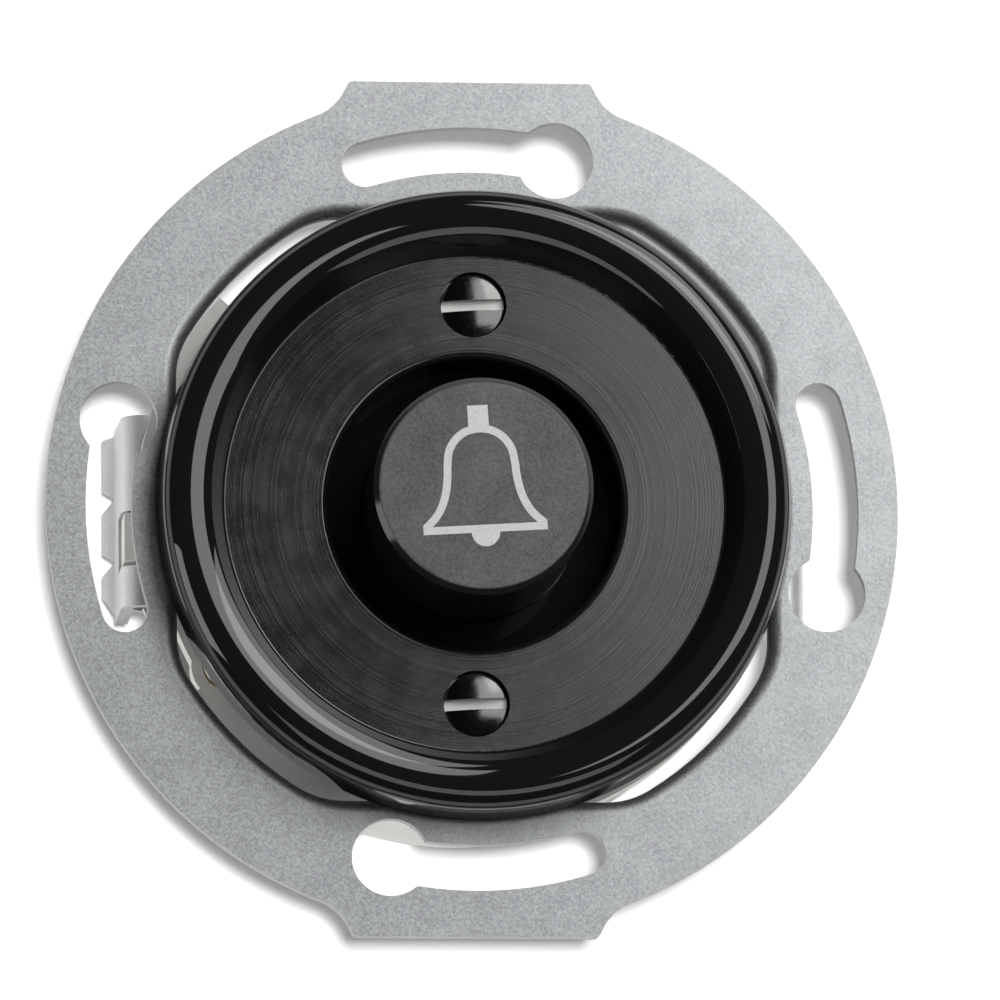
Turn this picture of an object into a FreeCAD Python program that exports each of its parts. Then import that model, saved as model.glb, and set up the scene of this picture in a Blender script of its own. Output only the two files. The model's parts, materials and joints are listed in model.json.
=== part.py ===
import FreeCAD, Part
import math
import os
import re
import Sketcher

# Flush bell push insert: a sheet-steel mounting ring with claws, a fired clay base with the contacts,
# a moulded centre disc held by two screws, and a spring-loaded push button.
# While it is drawn, z points out of the wall, z = 0 is the back of the ring and y points up.
# At the end each piece is turned so that +Z points up and the front looks along -Y.

RING_SIZES = {
    "ring_margin": 5.15,
    "plate_thickness": 1.2,
    "tab_proud": 0.55,
    "tab_half_width": 10.0,
    "tab_side_lean": 28.0,
    "tab_root_round": 4.0,
    "tab_corner_round": 0.5,
    "screw_circle_radius": 30.0,
    "slot_width": 3.8,
    "slot_plain_angle": 17.0,
    "keyhole_angle": 13.5,
    "keyhole_radius": 3.2,
    "ring_web": 2.75,
    "opening_side_inset": 1.0,
    "opening_corner_outset": 2.05,
    "opening_bend_radius": 6.8,
    "opening_junction_round": 2.5,
    "lip_thickness": 1.0,
    "lip_depth": 0.6,
    "lip_round": 1.15,
    "tongue_half_width": 5.0,
    "tongue_depth": 4.0,
    "ear_length": 5.4,
    "ring_screw_inset": 3.25,
}
BASE_SIZES = {
    "base_inset": 0.45,
    "flange_thickness": 2.5,
    "flange_overhang": 1.1,
    "body_flat_depth": 7.2,
    "base_back": 22.0,
    "base_edge_round": 0.8,
    "post_gap": 0.35,
    "side_ear_reach": 1.6,
    "side_ear_start": 138.0,
    "side_ear_end": 172.0,
    "low_ear_start": 213.0,
    "low_ear_end": 246.0,
    "cavity_gap": 0.8,
    "spring_well_gap": 0.1,
    "spring_well_depth": 3.5,
    "guide_post_radius": 2.3,
    "channel_angle": 135.0,
    "channel_gap": 0.4,
    "channel_end_gap": 0.5,
    "wire_window_width": 3.4,
    "back_recess_radius": 11.0,
    "back_recess_depth": 1.2,
    "cut_overrun": 1.0,
}
DISC_SIZES = {
    "disc_overlap": 0.75,
    "disc_lift": 0.15,
    "disc_taper": 0.25,
    "rim_height": 5.3,
    "rim_shoulder_round": 1.95,
    "rim_inner_arc": 3.9,
    "rim_inner_width": 2.0,
    "dish_edge_round": 0.2,
    "dish_slope_width": 1.2,
    "face_height": 1.5,
    "face_corner_round": 0.25,
    "face_thickness": 2.2,
    "rim_wall": 1.6,
    "rim_groove_width": 2.1,
    "rim_groove_depth": 3.1,
    "well_gap": 3.05,
    "well_round": 0.6,
    "well_depth": 5.0,
    "well_floor_thickness": 1.5,
    "well_wall": 1.1,
    "tube_clearance": 0.2,
    "cover_screw_outset": 0.275,
    "boss_drop": 1.5,
    "counterbore_radius": 2.75,
    "counterbore_depth": 2.0,
}
BUTTON_SIZES = {
    "button_radius": 9.0,
    "button_height": 8.2,
    "button_chamfer": 0.5,
    "button_edge_round": 0.15,
    "button_travel": 2.0,
    "running_clearance": 0.08,
    "stop_gap": 0.05,
    "button_flange_overhang": 2.2,
    "button_flange_thickness": 1.45,
    "button_bore_radius": 4.8,
    "button_bore_depth": 4.3,
    "button_stem_length": 3.4,
    "contact_plate_gap": 0.4,
    "contact_plate_inset": 0.6,
    "contact_plate_thickness": 0.8,
    "contact_tip_radius": 1.4,
    "contact_tip_height": 0.8,
    "contact_shank_radius": 0.7,
    "strip_thickness": 0.8,
    "strip_width": 5.0,
    "spring_wire_radius": 0.35,
    "spring_turns": 6.0,
}
CLAW_SIZES = {
    "claw_pivot_reach": 0.7,
    "claw_barrel_gap": 0.3,
    "claw_pin_radius": 0.75,
    "claw_sheet": 1.0,
    "claw_low": 9.0,
    "claw_high": 7.0,
    "claw_notch_low": 1.0,
    "claw_notch_high": 3.6,
    "claw_notch_depth": 2.7,
    "claw_lug_clearance": 0.3,
    "claw_reach": 8.0,
    "claw_tooth_length": 1.8,
    "claw_tooth_flare": 0.9,
    "claw_tooth_count": 3,
    "claw_arm_pad": 2.2,
    "claw_arm_width": 4.0,
    "claw_arm_reach": 6.6,
    "claw_screw_y": 12.5,
    "claw_screw_travel": 1.75,
    "bush_radius": 2.0,
    "bush_collar": 0.9,
    "bush_ear_radius": 2.9,
}
SCREW_SIZES = {
    "thread_radius": 1.5,
    "small_thread_radius": 1.25,
    "cover_head_radius": 2.6,
    "cover_head_height": 1.5,
    "cover_head_dome": 0.35,
    "cover_screw_length": 9.0,
    "cover_slot_tilt": 3.0,
    "insert_radius": 2.3,
    "insert_length": 8.0,
    "small_head_radius": 2.1,
    "small_head_height": 1.4,
    "ring_screw_length": 5.5,
    "driver_slot_width": 0.9,
    "driver_slot_depth": 0.8,
    "terminal_length": 6.0,
    "terminal_width": 6.3,
    "terminal_height": 4.6,
    "terminal_distance": 17.0,
    "wire_hole_radius": 1.2,
    "wire_height": 1.5,
    "terminal_screw_length": 2.2,
}

# Sizes that follow from the driving ones, so that neighbours keep their fit when one of those changes
FOLLOWING = {
    "ring_radius": "dim.screw_circle_radius + dim.ring_margin",
    "tab_reach": "dim.ring_radius + dim.tab_proud",
    "opening_axis_radius": "dim.screw_circle_radius - dim.slot_width / 2 - dim.ring_web",
    "opening_side": "dim.opening_axis_radius - dim.opening_side_inset",
    "opening_corner_radius": "dim.opening_axis_radius + dim.opening_corner_outset",
    "base_radius": "dim.opening_axis_radius + dim.lip_thickness - dim.base_inset",
    "body_radius": "dim.base_radius - dim.flange_overhang",
    "body_half_width": "dim.body_radius - dim.body_flat_depth",
    "side_ear_radius": "dim.base_radius + dim.side_ear_reach",
    "cavity_radius": "dim.button_flange_radius + dim.cavity_gap",
    "spring_well_radius": "dim.button_bore_radius + dim.spring_well_gap",
    "channel_width": "dim.terminal_width + dim.channel_gap",
    "channel_reach": "dim.terminal_distance + dim.terminal_length / 2 + dim.channel_end_gap",
    "disc_radius": "dim.opening_axis_radius + dim.disc_overlap",
    "rim_crest_radius": "dim.disc_radius - dim.disc_taper - dim.rim_shoulder_round",
    "dish_edge_radius": "dim.rim_crest_radius - dim.rim_inner_width",
    "face_radius": "dim.dish_edge_radius - dim.dish_slope_width",
    "rim_groove_radius": "dim.disc_radius - dim.rim_wall",
    "rim_step_radius": "dim.rim_groove_radius - dim.rim_groove_width",
    "well_radius": "dim.button_radius + dim.well_gap",
    "cover_screw_offset": "(dim.well_radius + dim.face_radius) / 2 + dim.cover_screw_outset",
    "ring_screw_offset": "dim.opening_axis_radius + dim.lip_thickness - dim.ring_screw_inset",
    "post_reach": "dim.ring_screw_offset - dim.small_head_radius - dim.post_gap",
    "post_radius": "dim.post_reach - dim.cover_screw_offset",
    "button_flange_radius": "dim.button_radius + dim.button_flange_overhang",
    "contact_plate_bore": "dim.button_bore_radius + dim.contact_plate_gap",
    "contact_plate_radius": "dim.button_flange_radius - dim.contact_plate_inset",
    "contact_circle": "(dim.contact_plate_bore + dim.contact_plate_radius) / 2",
    "spring_radius": "(dim.spring_well_radius + dim.guide_post_radius) / 2",
    "claw_pivot_x": "dim.base_radius + dim.claw_pivot_reach",
    "claw_screw_x": "dim.claw_pivot_x - dim.claw_arm_reach",
    "claw_barrel": "dim.claw_pin_radius + dim.stop_gap + dim.claw_sheet",
    "claw_pivot_depth": "dim.tongue_depth + dim.flange_thickness + dim.claw_barrel + dim.claw_barrel_gap",
}

doc = FreeCAD.newDocument("BellPush")
sheet = doc.addObject("Spreadsheet::Sheet", "dim")
row = 0
for group in (RING_SIZES, BASE_SIZES, DISC_SIZES, BUTTON_SIZES, CLAW_SIZES, SCREW_SIZES):
    for alias, number in group.items():
        row += 1
        sheet.set("A%d" % row, alias)
        sheet.set("B%d" % row, str(number))
        sheet.setAlias("B%d" % row, alias)
doc.recompute()

# Heights that several pieces share, as expressions of the driving sizes
PLATE_FRONT = "dim.plate_thickness"
LIP_BOTTOM = "-dim.lip_depth"
FLANGE_TOP = "-dim.tongue_depth"
FLANGE_BOTTOM = "(-dim.tongue_depth - dim.flange_thickness)"
FACE_TOP = "(dim.plate_thickness + dim.face_height)"
FACE_UNDER = "(dim.plate_thickness + dim.face_height - dim.face_thickness)"
BOSS_UNDER = "(dim.plate_thickness + dim.face_height - dim.face_thickness - dim.boss_drop)"
WELL_FLOOR = "(dim.plate_thickness + dim.face_height - dim.well_depth)"
WELL_UNDER = "(dim.plate_thickness + dim.face_height - dim.well_depth - dim.well_floor_thickness)"
CREST_TOP = "(dim.plate_thickness + dim.rim_height)"
BUTTON_TOP = "(dim.plate_thickness + dim.face_height + dim.button_height)"
BUTTON_STOP = "(%s - dim.stop_gap)" % WELL_UNDER
BUTTON_BOTTOM = "(%s - dim.button_flange_thickness)" % BUTTON_STOP
BUTTON_SEAT = "(%s + dim.button_bore_depth)" % BUTTON_BOTTOM
PLATE_UNDER = "(%s - dim.contact_plate_thickness)" % BUTTON_BOTTOM
FIXED_TIP_TOP = "(%s - dim.contact_tip_height - dim.button_travel - dim.stop_gap)" % PLATE_UNDER
CAVITY_FLOOR = "(%s - dim.contact_tip_height - dim.strip_thickness)" % FIXED_TIP_TOP
SPRING_FLOOR = "(%s - dim.spring_well_depth)" % CAVITY_FLOOR
STRIP_TOP = "(%s + dim.strip_thickness)" % CAVITY_FLOOR
SCREW_SEAT = "(%s - dim.counterbore_depth)" % FACE_TOP
PIVOT_Z = "(-dim.claw_pivot_depth)"
ARM_TOP = "(-dim.claw_pivot_depth + dim.claw_sheet / 2)"
ARM_UNDER = "(-dim.claw_pivot_depth - dim.claw_sheet / 2)"
BARREL = "dim.claw_barrel"
CLAW_HEAD_SEAT = "(%s + dim.claw_screw_travel + dim.stop_gap)" % FLANGE_TOP

WALL = FreeCAD.Placement(FreeCAD.Vector(0, 0, 0), FreeCAD.Rotation(FreeCAD.Vector(1, 0, 0), 90))
bodies = []


def spell(expression):
    """The expression with each following size written out in driving sizes."""
    def write_out(word):
        name = word.group(1)
        return "(%s)" % spell(FOLLOWING[name]) if name in FOLLOWING else word.group(0)

    return re.sub(r"dim\.([a-z_]+)", write_out, str(expression))


def amount(expression):
    """The present value of an expression, in millimetres or degrees."""
    return float(sheet.evalExpression(spell(expression)))


def bind(item, setting, expression):
    """A setting whose value is an expression of the sheet."""
    item.setExpression(setting, spell(expression))


def minus(expression):
    return "-(%s)" % expression


def start_body(label):
    body = doc.addObject("PartDesign::Body", "Body_" + label)
    body.Label = label
    bodies.append(body)
    return body


def origin_plane(body, role):
    for feature in body.Origin.OriginFeatures:
        if feature.Role == role:
            return feature
    raise ValueError(role)


def start_sketch(body, role="XY_Plane", offset="0"):
    """A sketch on one of the body's own planes, moved along that plane's normal."""
    sketch = body.newObject("Sketcher::SketchObject", "Sketch")
    sketch.AttachmentSupport = [(origin_plane(body, role), "")]
    sketch.MapMode = "FlatFace"
    if offset != "0":
        bind(sketch, "AttachmentOffset.Base.z", offset)
    return sketch


def hold(sketch, kind, elements, expression):
    """A dimension whose value is an expression of the sheet."""
    index = sketch.addConstraint(Sketcher.Constraint(kind, *elements, amount(expression)))
    bind(sketch, "Constraints[%d]" % index, expression)


def place_point(sketch, geometry, position, x, y):
    if x == "0":
        sketch.addConstraint(Sketcher.Constraint("PointOnObject", geometry, position, -2))
    else:
        hold(sketch, "DistanceX", (-1, 1, geometry, position), x)
    if y == "0":
        sketch.addConstraint(Sketcher.Constraint("PointOnObject", geometry, position, -1))
    else:
        hold(sketch, "DistanceY", (-1, 1, geometry, position), y)


def draw_circle(sketch, radius, x="0", y="0"):
    centre = FreeCAD.Vector(amount(x), amount(y), 0)
    index = sketch.addGeometry(Part.Circle(centre, FreeCAD.Vector(0, 0, 1), amount(radius)))
    hold(sketch, "Radius", (index,), radius)
    place_point(sketch, index, 3, x, y)


def draw_outline(sketch, corners):
    """A closed run of lines and arcs: a corner is (x, y), or (x, y, "bend", arc x, arc y), where the
    edge that leaves the corner is an arc through the second point."""
    spots = [FreeCAD.Vector(amount(c[0]), amount(c[1]), 0) for c in corners]
    for number, corner in enumerate(corners):
        start = spots[number]
        end = spots[(number + 1) % len(corners)]
        if "bend" not in corner:
            sketch.addGeometry(Part.LineSegment(start, end))
            continue
        through = FreeCAD.Vector(amount(corner[3]), amount(corner[4]), 0)
        sketch.addGeometry(Part.Arc(start, through, end))
    for number, corner in enumerate(corners):
        first_end = corner_end(sketch, number, spots[number])
        place_point(sketch, number, first_end, corner[0], corner[1])
        before = (number - 1) % len(corners)
        last_end = corner_end(sketch, before, spots[number])
        sketch.addConstraint(Sketcher.Constraint("Coincident", before, last_end, number, first_end))
        if "bend" in corner:
            bend = sketch.addGeometry(Part.Point(FreeCAD.Vector(amount(corner[3]), amount(corner[4]), 0)))
            sketch.toggleConstruction(bend)
            place_point(sketch, bend, 1, corner[3], corner[4])
            sketch.addConstraint(Sketcher.Constraint("PointOnObject", bend, 1, number))


def corner_end(sketch, geometry, spot):
    """Which end of an edge lies on a corner: an arc may have its ends the other way round."""
    return 1 if sketch.getPoint(geometry, 1).distanceToPoint(spot) < 1e-6 else 2


def pad(body, sketch, length):
    feature = body.newObject("PartDesign::Pad", "Pad")
    feature.Profile = sketch
    bind(feature, "Length", length)
    body.Tip = feature
    return feature


def pocket(body, sketch, length):
    """A cut that starts at the sketch and goes against its normal."""
    feature = body.newObject("PartDesign::Pocket", "Pocket")
    feature.Profile = sketch
    bind(feature, "Length", length)
    body.Tip = feature
    return feature


def turn(body, sketch):
    feature = body.newObject("PartDesign::Revolution", "Turned")
    feature.Profile = sketch
    feature.ReferenceAxis = (sketch, ["V_Axis"])
    feature.Angle = 360
    body.Tip = feature
    return feature


def round_pad(body, radius, bottom, height, x="0", y="0"):
    sketch = start_sketch(body, offset=bottom)
    draw_circle(sketch, radius, x, y)
    return pad(body, sketch, height)


def round_pocket(body, radius, top, depth, x="0", y="0"):
    sketch = start_sketch(body, offset=top)
    draw_circle(sketch, radius, x, y)
    return pocket(body, sketch, depth)


def outline_pad(body, corners, bottom, height):
    sketch = start_sketch(body, offset=bottom)
    draw_outline(sketch, corners)
    return pad(body, sketch, height)


def outline_pocket(body, corners, top, depth):
    sketch = start_sketch(body, offset=top)
    draw_outline(sketch, corners)
    return pocket(body, sketch, depth)


def turned_body(label, corners):
    """A body turned about z, from a half section of (radius, z) corners."""
    body = start_body(label)
    sketch = start_sketch(body, "XZ_Plane")
    draw_outline(sketch, corners)
    turn(body, sketch)
    return body


def around(body, originals, count):
    """Copies of features spread evenly about z."""
    pattern = body.newObject("PartDesign::PolarPattern", "Around")
    pattern.Originals = originals
    pattern.Axis = (originals[0].Profile[0], ["N_Axis"])
    pattern.Angle = 360
    pattern.Occurrences = count
    body.Tip = pattern
    return pattern


def soften(body, radius, chosen):
    """Rounds the edges of the body that the chosen test picks."""
    doc.recompute()
    names = []
    for number, edge in enumerate(body.Tip.Shape.Edges, start=1):
        if chosen(edge):
            names.append("Edge%d" % number)
    if not names:
        raise ValueError("no edge to soften on " + body.Label)
    base = body.Tip
    feature = body.newObject("PartDesign::Fillet", "Softened")
    feature.Base = (base, names)
    bind(feature, "Radius", radius)
    body.Tip = feature
    return feature


def is_level(edge, height):
    box = edge.BoundBox
    return abs(box.ZMin - height) < 1e-4 and abs(box.ZMax - height) < 1e-4


def is_ring(edge, radius, height):
    """A whole or part circle about z."""
    if not is_level(edge, height) or edge.Curve.TypeId != "Part::GeomCircle":
        return False
    centred = math.hypot(edge.Curve.Center.x, edge.Curve.Center.y) < 1e-4
    return centred and abs(edge.Curve.Radius - radius) < 1e-4


def is_upright(edge):
    box = edge.BoundBox
    return box.XLength < 1e-4 and box.YLength < 1e-4 and box.ZLength > 1e-3


def polar(radius, angle):
    """An (x, y) pair of expressions for a point at an angle in degrees."""
    return ("(%s) * cos((%s) * 1 deg)" % (radius, angle), "(%s) * sin((%s) * 1 deg)" % (radius, angle))


def turned_box(distance_in, distance_out, width, angle):
    """Corners of a box that points outward from the axis at an angle."""
    along = [(distance_in, -1), (distance_out, -1), (distance_out, 1), (distance_in, 1)]
    corners = []
    for distance, side in along:
        x = "(%s) * cos((%s) * 1 deg) - %d * (%s) / 2 * sin((%s) * 1 deg)"
        y = "(%s) * sin((%s) * 1 deg) + %d * (%s) / 2 * cos((%s) * 1 deg)"
        numbers = (distance, angle, side, width, angle)
        corners.append((x % numbers, y % numbers))
    return corners


def cut_driver_slot(body, x, y, top, head_radius, tilt="0"):
    """A screwdriver slot right across a head."""
    sketch = start_sketch(body, offset=top)
    corners = []
    for along, across in ((-1, -1), (1, -1), (1, 1), (-1, 1)):
        dx = "%d * %s * cos(%s * 1 deg) - %d * dim.driver_slot_width / 2 * sin(%s * 1 deg)"
        dy = "%d * %s * sin(%s * 1 deg) + %d * dim.driver_slot_width / 2 * cos(%s * 1 deg)"
        numbers = (along, "(%s + dim.cut_overrun)" % head_radius, tilt, across, tilt)
        corners.append(("%s + %s" % (x, dx % numbers), "%s + %s" % (y, dy % numbers)))
    draw_outline(sketch, corners)
    return pocket(body, sketch, "dim.driver_slot_depth")


def draw_opening(sketch, side, corner_radius, bend):
    """A loop of four flats, four arcs about the axis between them, and a bend at each meeting."""
    flat = amount(side)
    reach = amount(corner_radius)
    round_radius = amount(bend)
    inset = math.sqrt((reach - round_radius) ** 2 - (flat - round_radius) ** 2)
    lean = math.atan2(inset, flat - round_radius)
    up = FreeCAD.Vector(0, 0, 1)
    origin = FreeCAD.Vector(0, 0, 0)
    for quarter in range(4):
        start = quarter * math.pi / 2
        spin = FreeCAD.Rotation(up, 90 * quarter)
        low = spin.multVec(FreeCAD.Vector(flat, -inset, 0))
        high = spin.multVec(FreeCAD.Vector(flat, inset, 0))
        near = Part.Circle(spin.multVec(FreeCAD.Vector(flat - round_radius, inset, 0)), up, round_radius)
        far = Part.Circle(spin.multVec(FreeCAD.Vector(inset, flat - round_radius, 0)), up, round_radius)
        about = Part.Circle(origin, up, reach)
        quarter_end = start + math.pi / 2
        line = sketch.addGeometry(Part.LineSegment(low, high))
        sketch.addGeometry(Part.ArcOfCircle(near, start, start + lean))
        sketch.addGeometry(Part.ArcOfCircle(about, start + lean, quarter_end - lean))
        sketch.addGeometry(Part.ArcOfCircle(far, quarter_end - lean, quarter_end))
        sketch.addConstraint(Sketcher.Constraint("Vertical" if quarter % 2 == 0 else "Horizontal", line))
        hold(sketch, "Radius", (line + 1,), bend)
        hold(sketch, "Radius", (line + 2,), corner_radius)
        hold(sketch, "Radius", (line + 3,), bend)
        sketch.addConstraint(Sketcher.Constraint("Coincident", line + 2, 3, -1, 1))
        across = "DistanceX" if quarter % 2 == 0 else "DistanceY"
        hold(sketch, across, (-1, 1, line, 1), side if quarter < 2 else minus(side))
    for number in range(16):
        sketch.addConstraint(Sketcher.Constraint("Tangent", number, 2, (number + 1) % 16, 1))


def draw_arc_slot(sketch):
    """The curved slot at the top of the ring: two arcs about the axis with round ends."""
    middle = amount("dim.screw_circle_radius")
    half = amount("dim.slot_width / 2")
    first = math.radians(90 - amount("dim.keyhole_angle"))
    last = math.radians(90 + amount("dim.slot_plain_angle"))
    up = FreeCAD.Vector(0, 0, 1)
    origin = FreeCAD.Vector(0, 0, 0)
    first_centre = FreeCAD.Vector(middle * math.cos(first), middle * math.sin(first), 0)
    last_centre = FreeCAD.Vector(middle * math.cos(last), middle * math.sin(last), 0)
    outer = sketch.addGeometry(Part.ArcOfCircle(Part.Circle(origin, up, middle + half), first, last))
    last_cap = Part.ArcOfCircle(Part.Circle(last_centre, up, half), last, last + math.pi)
    end = sketch.addGeometry(last_cap)
    inner = sketch.addGeometry(Part.ArcOfCircle(Part.Circle(origin, up, middle - half), first, last))
    first_cap = Part.ArcOfCircle(Part.Circle(first_centre, up, half), first + math.pi, first + 2 * math.pi)
    start = sketch.addGeometry(first_cap)
    sketch.addConstraint(Sketcher.Constraint("Tangent", outer, 2, end, 1))
    sketch.addConstraint(Sketcher.Constraint("Tangent", end, 2, inner, 2))
    sketch.addConstraint(Sketcher.Constraint("Tangent", inner, 1, start, 1))
    sketch.addConstraint(Sketcher.Constraint("Tangent", start, 2, outer, 1))
    sketch.addConstraint(Sketcher.Constraint("Coincident", outer, 3, -1, 1))
    sketch.addConstraint(Sketcher.Constraint("Coincident", inner, 3, -1, 1))
    hold(sketch, "Radius", (outer,), "dim.screw_circle_radius + dim.slot_width / 2")
    hold(sketch, "Radius", (inner,), "dim.screw_circle_radius - dim.slot_width / 2")
    last_x = "-dim.screw_circle_radius * sin(dim.slot_plain_angle * 1 deg)"
    hold(sketch, "DistanceX", (-1, 1, end, 3), last_x)
    first_x = "dim.screw_circle_radius * sin(dim.keyhole_angle * 1 deg)"
    hold(sketch, "DistanceX", (-1, 1, start, 3), first_x)


def build_support_ring():
    """Sheet ring with two flat-topped tabs, four keyhole slots, a rolled-in opening and two ears."""
    body = start_body("support_ring")
    round_pad(body, "dim.ring_radius", "0", "dim.plate_thickness")
    root = "dim.tab_half_width + (dim.tab_reach - dim.screw_circle_radius) * tan(dim.tab_side_lean * 1 deg)"
    for sign in ("", "-"):
        tab_top = "%sdim.tab_reach" % sign
        tab_root = "%sdim.screw_circle_radius" % sign
        corners = [(minus(root), tab_root), (root, tab_root)]
        corners += [("dim.tab_half_width", tab_top), ("-dim.tab_half_width", tab_top)]
        outline_pad(body, corners, "0", "dim.plate_thickness")
    reach = amount("dim.tab_reach")
    outside = amount("dim.ring_radius")

    def is_tab_root(edge):
        x, y = edge.Vertexes[0].X, edge.Vertexes[0].Y
        return is_upright(edge) and abs(math.hypot(x, y) - outside) < 0.01 and abs(y) > outside / 2

    def is_tab_corner(edge):
        return is_upright(edge) and abs(abs(edge.Vertexes[0].Y) - reach) < 0.01

    soften(body, "dim.tab_root_round", is_tab_root)
    soften(body, "dim.tab_corner_round", is_tab_corner)

    # The lip behind the opening, first solid and then cut through with the opening
    lip_side = "dim.opening_side + dim.lip_thickness"
    lip_corner = "dim.opening_corner_radius + dim.lip_thickness"
    lip_bend = "dim.opening_bend_radius + dim.lip_thickness"
    round_pad(body, "dim.opening_axis_radius + dim.lip_thickness", LIP_BOTTOM, "dim.lip_depth")
    sketch = start_sketch(body, offset=LIP_BOTTOM)
    draw_opening(sketch, lip_side, lip_corner, lip_bend)
    pad(body, sketch, "dim.lip_depth")
    through = "dim.plate_thickness + dim.lip_depth"
    round_pocket(body, "dim.opening_axis_radius", PLATE_FRONT, through)
    sketch = start_sketch(body, offset=PLATE_FRONT)
    draw_opening(sketch, "dim.opening_side", "dim.opening_corner_radius", "dim.opening_bend_radius")
    pocket(body, sketch, through)
    junction = amount("dim.opening_axis_radius")
    front = amount(PLATE_FRONT)
    inside = amount(lip_corner)

    def is_junction(edge):
        spot = edge.Vertexes[0]
        return is_upright(edge) and abs(math.hypot(spot.X, spot.Y) - junction) < 0.01

    def is_opening_front(edge):
        far = max(math.hypot(spot.X, spot.Y) for spot in edge.Vertexes)
        return is_level(edge, front) and far < inside

    soften(body, "dim.opening_junction_round", is_junction)
    soften(body, "dim.lip_round", is_opening_front)

    # One slot with its keyhole, four times about the axis
    sketch = start_sketch(body, offset=PLATE_FRONT)
    draw_arc_slot(sketch)
    slot = pocket(body, sketch, "dim.plate_thickness")
    x, y = polar("dim.screw_circle_radius", "90 - dim.keyhole_angle")
    keyhole = round_pocket(body, "dim.keyhole_radius", PLATE_FRONT, "dim.plate_thickness", x, y)
    around(body, [slot, keyhole], 4)

    # Top and bottom tongues go back from the lip and end in ears that lie on the base
    inner = "dim.opening_axis_radius"
    outer = "dim.opening_axis_radius + dim.lip_thickness"
    half = "dim.tongue_half_width"
    for sign in ("", "-"):
        inner_y = "%ssqrt((%s) ^ 2 - %s ^ 2)" % (sign, inner, half)
        outer_y = "%ssqrt((%s) ^ 2 - %s ^ 2)" % (sign, outer, half)
        inner_mid = "%s(%s)" % (sign, inner)
        outer_mid = "%s(%s)" % (sign, outer)
        ear_end = "%s(%s - dim.ear_length)" % (sign, outer)
        tongue = [("-" + half, inner_y, "bend", "0", inner_mid), (half, inner_y)]
        tongue += [(half, outer_y, "bend", "0", outer_mid), ("-" + half, outer_y)]
        outline_pad(body, tongue, FLANGE_TOP, "dim.tongue_depth - dim.lip_depth")
        ear = [("-" + half, ear_end), (half, ear_end)]
        ear += [(half, outer_y, "bend", "0", outer_mid), ("-" + half, outer_y)]
        outline_pad(body, ear, FLANGE_TOP, "dim.lip_thickness")
        hole_y = "%s(%s - dim.ring_screw_inset)" % (sign, outer)
        round_pocket(body, "dim.small_thread_radius + dim.stop_gap", "%s + dim.lip_thickness" % FLANGE_TOP,
                     "dim.lip_thickness", "0", hole_y)
    ear_level = amount(outer) - amount("dim.ear_length")

    def is_ear_corner(edge):
        return is_upright(edge) and abs(abs(edge.Vertexes[0].Y) - ear_level) < 0.01

    soften(body, "dim.lip_thickness", is_ear_corner)


def claw_side(flip, x, y):
    """A spot of the right-hand claw or, with flip, the same spot turned half round the axis."""
    return (minus(x), minus(y)) if flip else (x, y)


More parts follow.
